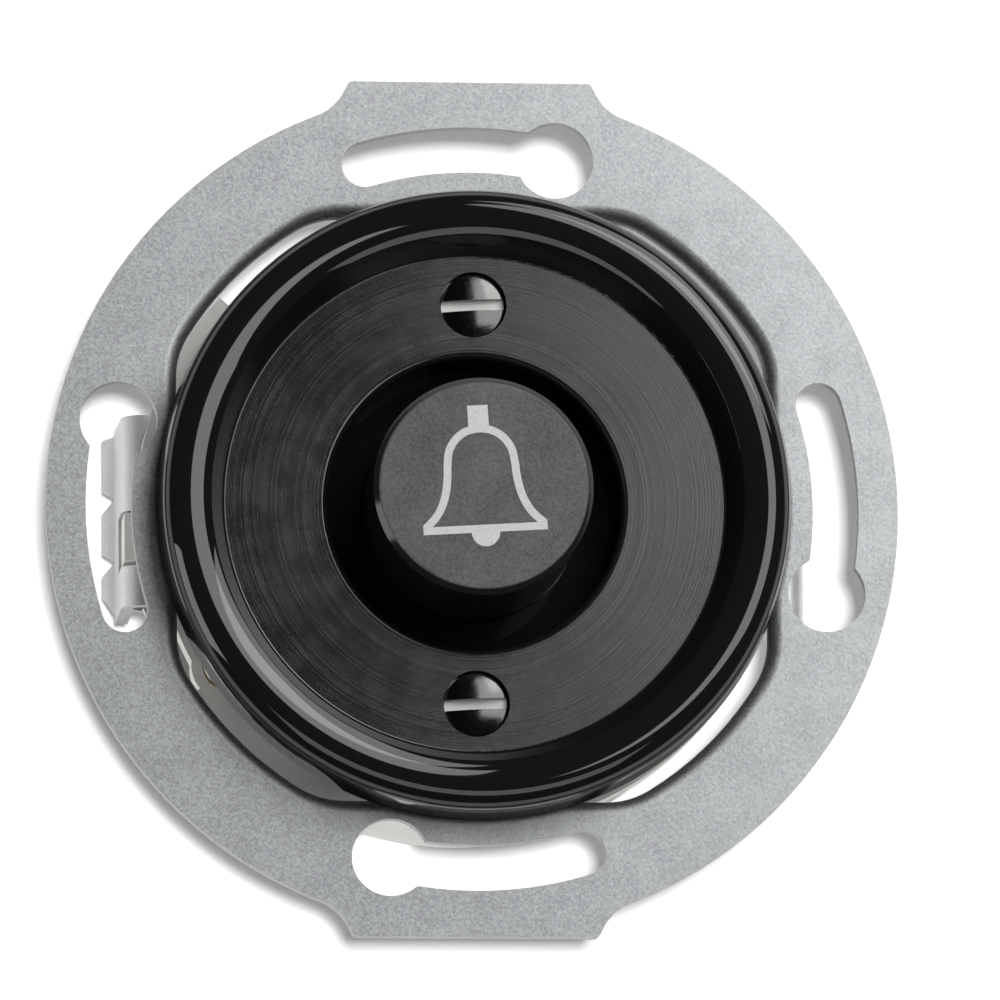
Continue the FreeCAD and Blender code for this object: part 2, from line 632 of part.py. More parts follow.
def build_base():
    """Fired clay base: a round flange, a body with two flats, posts, contact cavity and terminal channels."""
    body = start_body("base")
    round_pad(body, "dim.base_radius", FLANGE_BOTTOM, "dim.flange_thickness")
    flat = "dim.body_half_width"
    flat_y = "sqrt(dim.body_radius ^ 2 - dim.body_half_width ^ 2)"
    block = [(flat, "-" + flat_y), (flat, flat_y, "bend", "0", "dim.body_radius")]
    block += [("-" + flat, flat_y), ("-" + flat, "-" + flat_y, "bend", "0", "-dim.body_radius")]
    outline_pad(body, block, "-dim.base_back", "dim.base_back + %s" % FLANGE_BOTTOM)
    back = -amount("dim.base_back")
    soften(body, "dim.base_edge_round", lambda edge: is_level(edge, back))
    for sign in ("", "-"):
        post_y = sign + "dim.cover_screw_offset"
        round_pad(body, "dim.post_radius", FLANGE_TOP, "%s - (%s)" % (BOSS_UNDER, FLANGE_TOP), "0", post_y)
    tube_seat = "dim.well_radius + dim.well_wall + dim.tube_clearance"
    round_pocket(body, tube_seat, BOSS_UNDER, "%s - (%s)" % (BOSS_UNDER, FLANGE_TOP))
    reach = "dim.side_ear_radius"
    for start, end in (("dim.side_ear_start", "dim.side_ear_end"), ("dim.low_ear_start", "dim.low_ear_end")):
        middle = "(%s + %s) / 2" % (start, end)
        ear = [polar("dim.body_half_width", start), polar(reach, start) + ("bend",) + polar(reach, middle)]
        ear += [polar(reach, end), polar("dim.body_half_width", end)]
        outline_pad(body, ear, FLANGE_BOTTOM, "dim.flange_thickness")

    # What carries the claws: a lug for each hinge pin and a thicker spot for each claw screw
    lug_low = "-dim.claw_notch_low + dim.claw_lug_clearance"
    lug_high = "dim.claw_notch_high - dim.claw_lug_clearance"
    lug_out = "dim.claw_pivot_x + %s - dim.claw_pin_radius / 4" % BARREL
    lug_depth = "dim.claw_pivot_depth + %s - dim.tongue_depth - dim.flange_thickness / 2" % BARREL
    for flip in (False, True):
        corners = [claw_side(flip, "dim.body_half_width - dim.cut_overrun", lug_low)]
        corners += [claw_side(flip, lug_out, lug_low), claw_side(flip, lug_out, lug_high)]
        corners += [claw_side(flip, "dim.body_half_width - dim.cut_overrun", lug_high)]
        lug_bottom = "%s - %s" % (PIVOT_Z, BARREL)
        outline_pad(body, corners, lug_bottom, "%s - (%s)" % (FLANGE_BOTTOM, lug_bottom))
        x, y = claw_side(flip, "dim.claw_screw_x", "dim.claw_screw_y")
        round_pad(body, "dim.bush_ear_radius", FLANGE_BOTTOM, "dim.flange_thickness", x, y)
    for flip in (False, True):
        low, high = (minus(lug_high), minus(lug_low)) if flip else (lug_low, lug_high)
        sketch = start_sketch(body, "XZ_Plane", minus(low))
        draw_circle(sketch, "dim.claw_pin_radius", claw_side(flip, "dim.claw_pivot_x", "0")[0], PIVOT_Z)
        pocket(body, sketch, "%s - (%s)" % (high, low))
        x, y = claw_side(flip, "dim.claw_screw_x", "dim.claw_screw_y")
        round_pocket(body, "dim.bush_radius", FLANGE_TOP, "dim.flange_thickness", x, y)

    # Contact cavity with the spring well round its guide post
    round_pocket(body, "dim.cavity_radius", FLANGE_TOP, "%s - %s" % (FLANGE_TOP, CAVITY_FLOOR))
    sketch = start_sketch(body, offset=CAVITY_FLOOR)
    draw_circle(sketch, "dim.spring_well_radius")
    draw_circle(sketch, "dim.guide_post_radius")
    pocket(body, sketch, "dim.spring_well_depth")
    for angle in ("dim.channel_angle", "dim.channel_angle + 180"):
        channel = turned_box("dim.cavity_radius - dim.cut_overrun", "dim.channel_reach",
                             "dim.channel_width", angle)
        outline_pocket(body, channel, FLANGE_TOP, "%s - %s" % (FLANGE_TOP, CAVITY_FLOOR))
        window = turned_box("dim.channel_reach - dim.cut_overrun", "dim.base_radius + dim.cut_overrun",
                            "dim.wire_window_width", angle)
        window_top = "%s + dim.wire_height + dim.wire_window_width / 2" % STRIP_TOP
        outline_pocket(body, window, window_top, "dim.wire_window_width")
    for sign in ("", "-"):
        post_y = sign + "dim.cover_screw_offset"
        round_pocket(body, "dim.insert_radius", BOSS_UNDER, "dim.insert_length", "0", post_y)
        screw_y = sign + "dim.ring_screw_offset"
        round_pocket(body, "dim.small_thread_radius", FLANGE_TOP, "dim.ring_screw_length", "0", screw_y)
    sketch = start_sketch(body, offset="-dim.base_back + dim.back_recess_depth")
    draw_circle(sketch, "dim.back_recess_radius")
    pocket(body, sketch, "dim.back_recess_depth")


def build_cover_disc():
    """Moulded disc: a raised rounded rim round a sunk face, with a well that the button stands in."""
    crest = CREST_TOP
    shoulder = "(dim.disc_radius - dim.disc_taper - dim.rim_crest_radius)"
    shoulder_z = "%s - %s" % (crest, shoulder)
    seat = "%s + dim.disc_lift" % PLATE_FRONT
    arc_z = "%s - dim.rim_inner_arc" % crest
    across = "(dim.rim_crest_radius - dim.dish_edge_radius)"
    edge_z = "%s + sqrt(dim.rim_inner_arc ^ 2 - %s ^ 2)" % (arc_z, across)
    half_z = "%s + sqrt(dim.rim_inner_arc ^ 2 - %s ^ 2 / 4)" % (arc_z, across)
    bore = "dim.button_radius + dim.running_clearance"
    tube = "dim.well_radius + dim.well_wall"
    corners = [
        (bore, WELL_FLOOR),
        ("dim.well_radius", WELL_FLOOR),
        ("dim.well_radius", FACE_TOP),
        ("dim.face_radius", FACE_TOP),
        ("dim.dish_edge_radius", edge_z, "bend", "dim.dish_edge_radius + %s / 2" % across, half_z),
        ("dim.rim_crest_radius", crest, "bend", "dim.rim_crest_radius + %s * sqrt(0.5)" % shoulder,
         "%s + %s * sqrt(0.5)" % (shoulder_z, shoulder)),
        ("dim.disc_radius - dim.disc_taper", shoulder_z),
        ("dim.disc_radius", seat),
        ("dim.rim_groove_radius", seat),
        ("dim.rim_groove_radius", "%s + dim.rim_groove_depth" % PLATE_FRONT),
        ("dim.rim_step_radius", "%s + dim.rim_groove_depth" % PLATE_FRONT),
        ("dim.rim_step_radius", FACE_UNDER),
        (tube, FACE_UNDER),
        (tube, WELL_UNDER),
        (bore, WELL_UNDER),
    ]
    body = turned_body("cover_disc", corners)
    face = amount(FACE_TOP)
    well = amount("dim.well_radius")
    dish_edge = amount("dim.dish_edge_radius")
    dish_z = amount(edge_z)
    foot = amount("dim.face_radius")
    soften(body, "dim.well_round", lambda edge: is_ring(edge, well, face))
    soften(body, "dim.dish_edge_round", lambda edge: is_ring(edge, dish_edge, dish_z))
    soften(body, "dim.face_corner_round", lambda edge: is_ring(edge, foot, face))
    for sign in ("", "-"):
        screw_y = sign + "dim.cover_screw_offset"
        round_pad(body, "dim.post_radius", BOSS_UNDER, "dim.boss_drop", "0", screw_y)
    for sign in ("", "-"):
        screw_y = sign + "dim.cover_screw_offset"
        round_pocket(body, "dim.counterbore_radius", FACE_TOP, "dim.counterbore_depth", "0", screw_y)
        round_pocket(body, "dim.thread_radius + dim.running_clearance", SCREW_SEAT,
                     "%s - %s" % (SCREW_SEAT, BOSS_UNDER), "0", screw_y)


def build_push_button():
    """Turned plunger: a flat-topped button on a wider flange, bored from behind for the spring."""
    corners = [
        ("0", BUTTON_TOP),
        ("dim.button_radius - dim.button_chamfer", BUTTON_TOP),
        ("dim.button_radius", "%s - dim.button_chamfer" % BUTTON_TOP),
        ("dim.button_radius", BUTTON_STOP),
        ("dim.button_flange_radius", BUTTON_STOP),
        ("dim.button_flange_radius", BUTTON_BOTTOM),
        ("dim.button_bore_radius", BUTTON_BOTTOM),
        ("dim.button_bore_radius", BUTTON_SEAT),
        ("dim.guide_post_radius", BUTTON_SEAT),
        ("dim.guide_post_radius", "%s - dim.button_stem_length" % BUTTON_SEAT),
        ("0", "%s - dim.button_stem_length" % BUTTON_SEAT),
    ]
    body = turned_body("push_button", corners)
    top = amount(BUTTON_TOP)
    face = amount("dim.button_radius - dim.button_chamfer")
    soften(body, "dim.button_edge_round", lambda edge: is_ring(edge, face, top))
    for angle in ("dim.channel_angle", "dim.channel_angle + 180"):
        x, y = polar("dim.contact_circle", angle)
        shank = "dim.contact_tip_height"
        round_pocket(body, "dim.contact_shank_radius", "%s + %s" % (BUTTON_BOTTOM, shank), shank, x, y)


def build_contact_plate():
    """Brass ring under the button's flange that bridges the two fixed contacts."""
    body = start_body("contact_plate")
    sketch = start_sketch(body, offset=PLATE_UNDER)
    draw_circle(sketch, "dim.contact_plate_radius")
    draw_circle(sketch, "dim.contact_plate_bore")
    for angle in ("dim.channel_angle", "dim.channel_angle + 180"):
        x, y = polar("dim.contact_circle", angle)
        draw_circle(sketch, "dim.contact_shank_radius", x, y)
    pad(body, sketch, "dim.contact_plate_thickness")


def stand_at(body, x="0", y="0", angle=0.0):
    """Where a piece that is drawn about its own axis stands on the part, and how far it is turned."""
    turn_about = FreeCAD.Rotation(FreeCAD.Vector(0, 0, 1), angle)
    body.Placement = FreeCAD.Placement(FreeCAD.Vector(), WALL.Rotation.multiply(turn_about))
    if x != "0":
        bind(body, "Placement.Base.x", x)
    if y != "0":
        bind(body, "Placement.Base.z", y)


def build_contacts(name, angle):
    """One side of the circuit, drawn along +x: rivets, strip, terminal block and clamp screw."""
    tip = "dim.contact_tip_radius"
    shank = "dim.contact_shank_radius"
    height = "dim.contact_tip_height"
    moving = start_body("moving_contact_" + name)
    round_pad(moving, tip, "%s - %s" % (PLATE_UNDER, height), height, "dim.contact_circle")
    round_pad(moving, shank, PLATE_UNDER, "dim.contact_plate_thickness + %s" % height, "dim.contact_circle")
    fixed = start_body("fixed_contact_" + name)
    round_pad(fixed, tip, STRIP_TOP, height, "dim.contact_circle")
    round_pad(fixed, shank, CAVITY_FLOOR, "dim.strip_thickness", "dim.contact_circle")
    strip = start_body("contact_strip_" + name)
    strip_in = "dim.contact_circle - dim.contact_tip_radius"
    strip_out = "dim.channel_reach - dim.stop_gap"
    half = "dim.strip_width / 2"
    outline = [(strip_in, "-" + half), (strip_out, "-" + half), (strip_out, half), (strip_in, half)]
    outline_pad(strip, outline, CAVITY_FLOOR, "dim.strip_thickness")
    round_pocket(strip, shank, STRIP_TOP, "dim.strip_thickness", "dim.contact_circle")
    block = start_body("terminal_block_" + name)
    near = "dim.terminal_distance - dim.terminal_length / 2"
    far = "dim.terminal_distance + dim.terminal_length / 2"
    half = "dim.terminal_width / 2"
    outline = [(near, "-" + half), (far, "-" + half), (far, half), (near, half)]
    outline_pad(block, outline, STRIP_TOP, "dim.terminal_height")
    sketch = start_sketch(block, "YZ_Plane", far)
    draw_circle(sketch, "dim.wire_hole_radius", "0", "%s + dim.wire_height" % STRIP_TOP)
    pocket(block, sketch, "dim.terminal_length")
    block_top = "%s + dim.terminal_height" % STRIP_TOP
    round_pocket(block, "dim.thread_radius", block_top, "dim.terminal_height - dim.wire_height",
                 "dim.terminal_distance")
    screw = start_body("terminal_screw_" + name)
    round_pad(screw, "dim.small_head_radius", block_top, "dim.small_head_height", "dim.terminal_distance")
    round_pad(screw, "dim.thread_radius", "%s - dim.terminal_screw_length" % block_top,
              "dim.terminal_screw_length", "dim.terminal_distance")
    cut_driver_slot(screw, "dim.terminal_distance", "0", "%s + dim.small_head_height" % block_top,
                    "dim.small_head_radius", "35")
    for body in (moving, fixed, strip, block, screw):
        stand_at(body, angle=angle)


def build_return_spring():
    """Open coil spring between the floor of the base and the bottom of the button's bore."""
    body = start_body("return_spring")
    sketch = start_sketch(body, "XZ_Plane")
    low = "%s + dim.spring_wire_radius + dim.stop_gap" % SPRING_FLOOR
    high = "%s - dim.spring_wire_radius - dim.stop_gap" % BUTTON_SEAT
    draw_circle(sketch, "dim.spring_wire_radius", "dim.spring_radius", low)
    coil = body.newObject("PartDesign::AdditiveHelix", "Coil")
    coil.Profile = sketch
    coil.ReferenceAxis = (sketch, ["V_Axis"])
    coil.Mode = 0
    bind(coil, "Height", "%s - (%s)" % (high, low))
    bind(coil, "Pitch", "(%s - (%s)) / dim.spring_turns" % (high, low))
    coil.LeftHanded = False
    body.Tip = coil


def build_cover_screw(name, y, tilt):
    """Slotted screw with a low domed head that holds the disc to a post of the base."""
    head = "dim.cover_head_radius"
    dome = "dim.cover_head_dome"
    ball = "((%s ^ 2 + %s ^ 2) / (2 * %s))" % (head, dome, dome)
    rim_z = "%s + dim.cover_head_height" % SCREW_SEAT
    top_z = "%s + %s" % (rim_z, dome)
    half_z = "%s - %s + sqrt(%s ^ 2 - %s ^ 2 / 4)" % (top_z, ball, ball, head)
    tip_z = "%s - dim.cover_screw_length" % SCREW_SEAT
    corners = [
        (head, rim_z, "bend", head + " / 2", half_z),
        ("0", top_z),
        ("0", tip_z),
        ("dim.thread_radius", tip_z),
        ("dim.thread_radius", SCREW_SEAT),
        (head, SCREW_SEAT),
    ]
    body = turned_body("cover_screw_" + name, corners)
    cut_driver_slot(body, "0", "0", top_z, head, tilt)
    stand_at(body, "0", y)


def build_tube(label, outer, inner, bottom, height, x, y):
    """A plain bush about its own axis."""
    body = start_body(label)
    sketch = start_sketch(body, offset=bottom)
    draw_circle(sketch, outer)
    draw_circle(sketch, inner)
    pad(body, sketch, height)
    stand_at(body, x, y)


def build_small_screw(label, seat, length, shank, x, y, tilt):
    """Slotted cheese-head screw about its own axis."""
    body = start_body(label)
    round_pad(body, "dim.small_head_radius", seat, "dim.small_head_height")
    round_pad(body, shank, "%s - (%s)" % (seat, length), length)
    cut_driver_slot(body, "0", "0", "%s + dim.small_head_height" % seat, "dim.small_head_radius", tilt)
    stand_at(body, x, y)


def build_claw(name, angle):
    """Bell-crank claw of bent sheet, drawn on the +x side: two barrels on the pin, a toothed leg that
    reaches back, and an arm that the claw screw pushes on."""
    body = start_body("claw_" + name)
    low = "-dim.claw_low"
    high = "dim.claw_high"
    notch_low = "-dim.claw_notch_low"
    notch_high = "dim.claw_notch_high"
    for start, end in ((low, notch_low), (notch_high, high)):
        sketch = start_sketch(body, "XZ_Plane", minus(end))
        draw_circle(sketch, BARREL, "dim.claw_pivot_x", PIVOT_Z)
        pad(body, sketch, "%s - (%s)" % (end, start))
    leg_out = "dim.claw_pivot_x + %s" % BARREL
    leg_in = "%s - dim.claw_sheet" % leg_out
    bend_z = "%s - dim.claw_reach" % PIVOT_Z
    tip_z = "%s - dim.claw_tooth_length" % bend_z
    leg = [(leg_out, PIVOT_Z), (leg_in, PIVOT_Z), (leg_in, bend_z)]
    leg += [("%s + dim.claw_tooth_flare" % leg_in, tip_z), ("%s + dim.claw_tooth_flare" % leg_out, tip_z)]
    leg += [(leg_out, bend_z)]
    sketch = start_sketch(body, "XZ_Plane", minus(high))
    draw_outline(sketch, leg)
    pad(body, sketch, "%s - (%s)" % (high, low))
    screw_x = "dim.claw_screw_x"
    screw_y = "dim.claw_screw_y"
    reach = "dim.claw_arm_pad"
    arm = [
        ("dim.claw_pivot_x", notch_high),
        ("dim.claw_pivot_x", high),
        ("%s + dim.claw_arm_width" % screw_x, screw_y),
        ("%s + %s" % (screw_x, reach), "%s + %s" % (screw_y, reach)),
        ("%s - %s / 2" % (screw_x, reach), "%s + %s" % (screw_y, reach)),
        ("%s - %s * 0.8" % (screw_x, reach), "%s - %s / 2" % (screw_y, reach)),
        ("%s + %s / 2" % (screw_x, reach), "%s - %s * 1.5" % (screw_y, reach)),
        ("dim.claw_pivot_x - %s - dim.claw_sheet" % BARREL, notch_high),
    ]
    outline_pad(body, arm, ARM_UNDER, "dim.claw_sheet")
    around_barrel = "(%s + dim.stop_gap)" % BARREL
    near, far = ("dim.claw_pivot_x %s %s" % (sign, around_barrel) for sign in "-+")
    notch = [(near, notch_low), (far, notch_low), (far, notch_high), (near, notch_high)]
    outline_pocket(body, notch, "%s + %s" % (PIVOT_Z, around_barrel),
                   "%s + dim.claw_notch_depth" % around_barrel)

    # Teeth: the turned-out edge is nicked between them and cut back at the corner near the box wall
    teeth_out = "%s + dim.claw_tooth_flare + dim.cut_overrun" % leg_out
    teeth_depth = "dim.claw_sheet + dim.claw_tooth_flare + dim.cut_overrun * 2"
    sketch = start_sketch(body, "YZ_Plane", teeth_out)
    width = "((%s - (%s)) / dim.claw_tooth_count)" % (high, low)
    nick = "dim.claw_tooth_length"
    for number in range(1, int(amount("dim.claw_tooth_count"))):
        y = "%s + %s * %d" % (low, width, number)
        nick_corners = [("%s - %s / 2" % (y, nick), tip_z), ("%s + %s / 2" % (y, nick), tip_z)]
        draw_triangle(sketch, nick_corners + [(y, "%s + %s" % (tip_z, nick))])
    pocket(body, sketch, teeth_depth)
    sketch = start_sketch(body, "YZ_Plane", teeth_out)
    past_side = "%s + dim.stop_gap * 2" % high
    past_tip = "%s - dim.stop_gap * 2" % tip_z
    trimmed = [("%s - %s * 1.5" % (high, nick), past_tip)]
    trimmed += [(past_side, past_tip), (past_side, "%s + %s * 1.5" % (tip_z, nick))]
    draw_triangle(sketch, trimmed)
    pocket(body, sketch, teeth_depth)
    sketch = start_sketch(body, "XZ_Plane", "dim.claw_low")
    draw_circle(sketch, "dim.claw_pin_radius + dim.stop_gap", "dim.claw_pivot_x", PIVOT_Z)
    pocket(body, sketch, "%s - (%s)" % (high, low))
    stand_at(body, angle=angle)

    pin = start_body("claw_pin_" + name)
    sketch = start_sketch(pin, "XZ_Plane", minus("%s - dim.claw_lug_clearance" % high))
    draw_circle(sketch, "dim.claw_pin_radius", "dim.claw_pivot_x", PIVOT_Z)
    pad(pin, sketch, "%s - (%s) - dim.claw_lug_clearance * 2" % (high, low))
    stand_at(pin, angle=angle)


def draw_triangle(sketch, corners):
    """A closed three-sided run added beside others in the same sketch."""
    first = sketch.GeometryCount
    spots = [FreeCAD.Vector(amount(x), amount(y), 0) for x, y in corners]
    for number in range(3):
        sketch.addGeometry(Part.LineSegment(spots[number], spots[(number + 1) % 3]))
    for number in range(3):
        edge = first + number
        before = first + (number - 1) % 3
        sketch.addConstraint(Sketcher.Constraint("Coincident", before, 2, edge, 1))
        place_point(sketch, edge, 1, corners[number][0], corners[number][1])


build_support_ring()
build_base()
build_cover_disc()
build_push_button()
build_contact_plate()
channel_angle = amount("dim.channel_angle")
build_contacts("upper", channel_angle)
build_contacts("lower", channel_angle + 180)
build_return_spring()
for name, sign in (("top", ""), ("bottom", "-")):
    post = sign + "dim.cover_screw_offset"
    build_cover_screw(name, post, "dim.cover_slot_tilt")
    build_tube("cover_insert_" + name, "dim.insert_radius", "dim.thread_radius",
               "%s - dim.insert_length" % BOSS_UNDER, "dim.insert_length", "0", post)
    ear_hole = sign + "dim.ring_screw_offset"
    build_small_screw("ring_screw_" + name, "%s + dim.lip_thickness" % FLANGE_TOP,
                      "dim.ring_screw_length", "dim.small_thread_radius", "0", ear_hole, "20")
for name, flip, angle in (("right", False, 0), ("left", True, 180)):
    build_claw(name, angle)
    x, y = claw_side(flip, "dim.claw_screw_x", "dim.claw_screw_y")
    shank = "%s - (%s) - dim.stop_gap" % (CLAW_HEAD_SEAT, ARM_TOP)
    build_small_screw("claw_screw_" + name, CLAW_HEAD_SEAT, shank, "dim.thread_radius", x, y, "70")
    build_tube("claw_bush_" + name, "dim.bush_radius", "dim.thread_radius + dim.stop_gap",
               "%s - dim.bush_collar" % FLANGE_BOTTOM, "dim.flange_thickness + dim.bush_collar", x, y)
for body in bodies:
    if body.Placement.isIdentity():
        stand_at(body)
doc.recompute()

for item in doc.Objects:
    if "Invalid" in item.State or "Error" in item.State:
        raise RuntimeError("%s of %s has failed: %s" % (item.Name, item.Label, item.State))
os.makedirs("parts", exist_ok=True)
for body in bodies:
    shape = body.Shape
    if shape.isNull() or not shape.isValid() or len(shape.Solids) != 1:
        raise RuntimeError("%s isn't one valid solid" % body.Label)
    shape.exportStep("parts/%s.step" % body.Label)
    print("%-26s %9.1f mm3" % (body.Label, shape.Volume))
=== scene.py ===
import json
import math

import bmesh
import bpy
from mathutils import Matrix, Vector


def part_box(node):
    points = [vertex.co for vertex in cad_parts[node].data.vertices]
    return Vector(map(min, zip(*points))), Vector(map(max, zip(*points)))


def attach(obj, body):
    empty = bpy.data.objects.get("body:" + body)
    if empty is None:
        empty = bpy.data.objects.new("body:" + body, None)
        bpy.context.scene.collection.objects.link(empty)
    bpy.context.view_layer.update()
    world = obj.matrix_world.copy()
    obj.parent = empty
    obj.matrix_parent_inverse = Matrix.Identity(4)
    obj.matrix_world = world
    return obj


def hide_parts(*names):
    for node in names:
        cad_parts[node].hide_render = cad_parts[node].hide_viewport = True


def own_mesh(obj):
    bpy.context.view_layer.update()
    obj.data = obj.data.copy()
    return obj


# A flush bell push. The CAD solids get their materials and smooth edges here, and the bell sign and the
# spring's coil are made here. Named sizes are in mm unless a comment says metres.

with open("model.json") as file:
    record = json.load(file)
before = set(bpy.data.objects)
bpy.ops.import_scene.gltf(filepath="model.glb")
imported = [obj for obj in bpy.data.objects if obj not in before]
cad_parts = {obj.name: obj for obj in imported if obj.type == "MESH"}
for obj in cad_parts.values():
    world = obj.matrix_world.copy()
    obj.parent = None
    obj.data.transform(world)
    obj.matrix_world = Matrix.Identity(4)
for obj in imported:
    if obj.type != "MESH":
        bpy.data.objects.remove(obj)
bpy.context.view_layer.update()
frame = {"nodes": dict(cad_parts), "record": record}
MM = 0.001

# The rim of the disc: two arcs that meet at its crest
RIM_CREST = 23.9
RIM_INNER_ARC = 3.9
RIM_OUTER_ARC = 1.95
RIM_INNER_EDGE = 21.95
RIM_SHOULDER_HEIGHT = 4.6

# Where the disc's surface changes, each from one place to another: radii from the push axis, and depths
WELL_MOUTH = (12.0, 12.6)
FACE_START = (12.5, 12.8)
FACE_END = (20.65, 20.95)
# Radii over which the face's grooves and painted glint lines fade from strong near the well to faint
NEAR_WELL_GROOVES_AND_GLINTS = (13.0, 16.5)
SIDE_START = (25.4, 25.8)
SIDE_FRONT = (-4.4, -3.6)
FACE_FRONT = (-2.95, -2.45)
FACE_BACK = (-2.45, -2.2)


# Materials

class Nodes:
    """Short calls that build a node tree. A value is a link or a plain number."""

    def __init__(self, tree):
        self.tree = tree

    def node(self, kind, **settings):
        made = self.tree.nodes.new(kind)
        for name, value in settings.items():
            setattr(made, name, value)
        return made

    def join(self, source, target):
        self.tree.links.new(source, target)

    def feed(self, socket, value):
        if isinstance(value, bpy.types.NodeSocket):
            self.join(value, socket)
        else:
            socket.default_value = value

    def math(self, operation, first, second=0.0, third=0.0, clamp=False):
        made = self.node("ShaderNodeMath", operation=operation, use_clamp=clamp)
        for socket, value in zip(made.inputs, (first, second, third)):
            self.feed(socket, value)
        return made.outputs[0]

    def blend(self, share, first, second):
        """Mixes two shaders."""
        made = self.node("ShaderNodeMixShader")
        for socket, value in zip(made.inputs, (share, first, second)):
            self.join(value, socket)
        return made.outputs[0]


class Shader(Nodes):
    """A principled material, seen in the coordinates of its object."""

    def __init__(self, name, color=(0.5, 0.5, 0.5), metallic=0.0, roughness=0.5):
        self.material = bpy.data.materials.new(name)
        self.material.use_nodes = True
        super().__init__(self.material.node_tree)
        self.surface = next(n for n in self.tree.nodes if n.type == "BSDF_PRINCIPLED")
        self.surface.inputs["Base Color"].default_value = (*color, 1.0)
        self.surface.inputs["Metallic"].default_value = metallic
        self.surface.inputs["Roughness"].default_value = roughness
        self.place = self.node("ShaderNodeTexCoord").outputs["Object"]

    def scaled(self, factors):
        made = self.node("ShaderNodeMapping")
        made.inputs["Scale"].default_value = factors
        self.join(self.place, made.inputs["Vector"])
        return made.outputs[0]

    def noise(self, per_mm, detail=2.0, roughness=0.5, place=None):
        made = self.node("ShaderNodeTexNoise")
        self.join(place or self.place, made.inputs["Vector"])
        made.inputs["Scale"].default_value = per_mm / MM
        made.inputs["Detail"].default_value = detail
        made.inputs["Roughness"].default_value = roughness
        return made.outputs["Fac"]

    def spread(self, value, low, high, out_low, out_high, smooth=False):
        """Stretches low to high over out_low to out_high, and holds the ends."""
        interpolation = "SMOOTHSTEP" if smooth else "LINEAR"
        made = self.node("ShaderNodeMapRange", interpolation_type=interpolation)
        for number, entry in enumerate((value, low, high, out_low, out_high)):
            self.feed(made.inputs[number], entry)
        return made.outputs[0]

    def scale_up(self, value, factor):
        return self.math("MULTIPLY", value, factor)

    def sum(self, first, second):
        return self.math("ADD", first, second)

    def ramp(self, value, stops):
        made = self.node("ShaderNodeValToRGB")
        while len(made.color_ramp.elements) < len(stops):
            made.color_ramp.elements.new(1.0)
        for element, (place, color) in zip(made.color_ramp.elements, stops):
            element.position = place
            element.color = (*color, 1.0)
        self.join(value, made.inputs["Fac"])
        return made.outputs["Color"]

    def mix(self, share, first, second):
        """Mixes two fixed colours."""
        made = self.node("ShaderNodeMix", data_type="RGBA")
        self.feed(made.inputs[0], share)
        made.inputs[6].default_value = (*first, 1.0)
        made.inputs[7].default_value = (*second, 1.0)
        return made.outputs[2]

    def color(self, value):
        self.join(value, self.surface.inputs["Base Color"])

    def rough(self, value):
        self.join(value, self.surface.inputs["Roughness"])

    def bump(self, height, depth_mm, strength=1.0, normal=None):
        """Height from 0 to 1, over a real depth."""
        made = self.node("ShaderNodeBump")
        if normal:
            self.join(normal, made.inputs["Normal"])
        made.inputs["Strength"].default_value = strength
        made.inputs["Distance"].default_value = depth_mm * MM
        self.join(height, made.inputs["Height"])
        self.join(made.outputs[0], self.surface.inputs["Normal"])

    def axes(self):
        made = self.node("ShaderNodeSeparateXYZ")
        self.join(self.place, made.inputs[0])
        return made.outputs

    def depth_mm(self):
        """Distance along the push axis, less than 0 in front of the wall."""
        return self.math("DIVIDE", self.axes()[1], MM)

    def radius_mm(self):
        """Distance from the push axis."""
        x, y, z = self.axes()
        squares = self.sum(self.scale_up(x, x), self.scale_up(z, z))
        return self.math("DIVIDE", self.math("SQRT", squares), MM)


def zinc_plate(name, light, dark, grain=0.85):
    """Galvanised steel: a fine bright speckle over soft clouds."""
    shader = Shader(name, light, metallic=1.0)
    speckle = shader.noise(4.6, 3.0, 0.8)
    cloud = shader.noise(0.3, 3.0, 0.6)
    value = shader.sum(shader.scale_up(speckle, grain), shader.scale_up(cloud, 1.0 - grain))
    shader.color(shader.ramp(value, ((0.38, dark), (0.62, light))))
    shader.rough(shader.spread(speckle, 0.3, 0.7, 0.46, 0.6))
    shader.bump(speckle, 0.03, 0.7)
    return shader.material


def rim_normal(shader, radius, depth):
    """The exact normal of the rim's two arcs, because a mirror finish shows every facet."""
    leans = []
    for low, high, arc in ((RIM_CREST - RIM_INNER_ARC, RIM_CREST, RIM_INNER_ARC),
                           (RIM_CREST, RIM_CREST + RIM_OUTER_ARC, RIM_OUTER_ARC)):
        ends = ((low - RIM_CREST) / arc, (high - RIM_CREST) / arc)
        leans.append(shader.spread(radius, low, high, *ends))
    lean = shader.sum(*leans)
    rest = shader.math("SUBTRACT", 1.0, shader.scale_up(lean, lean), clamp=True)
    upright = shader.math("SQRT", rest)
    x, y, z = shader.axes()
    share = shader.math("DIVIDE", lean, shader.scale_up(radius, MM))
    joined = shader.node("ShaderNodeCombineXYZ")
    shader.join(shader.scale_up(x, share), joined.inputs[0])
    shader.join(shader.scale_up(upright, -1.0), joined.inputs[1])
    shader.join(shader.scale_up(z, share), joined.inputs[2])
    turned = shader.node("ShaderNodeVectorTransform", vector_type="NORMAL", convert_from="OBJECT",
                         convert_to="WORLD")
    shader.join(joined.outputs[0], turned.inputs[0])
    past_edge = shader.math("GREATER_THAN", radius, RIM_INNER_EDGE)
    on_rim = shader.scale_up(past_edge, shader.math("LESS_THAN", depth, -RIM_SHOULDER_HEIGHT))
    chosen = shader.node("ShaderNodeMix", data_type="VECTOR")
    shader.join(on_rim, chosen.inputs[0])
    shader.join(shader.node("ShaderNodeNewGeometry").outputs["Normal"], chosen.inputs[4])
    shader.join(turned.outputs[0], chosen.inputs[5])
    return chosen.outputs[1]


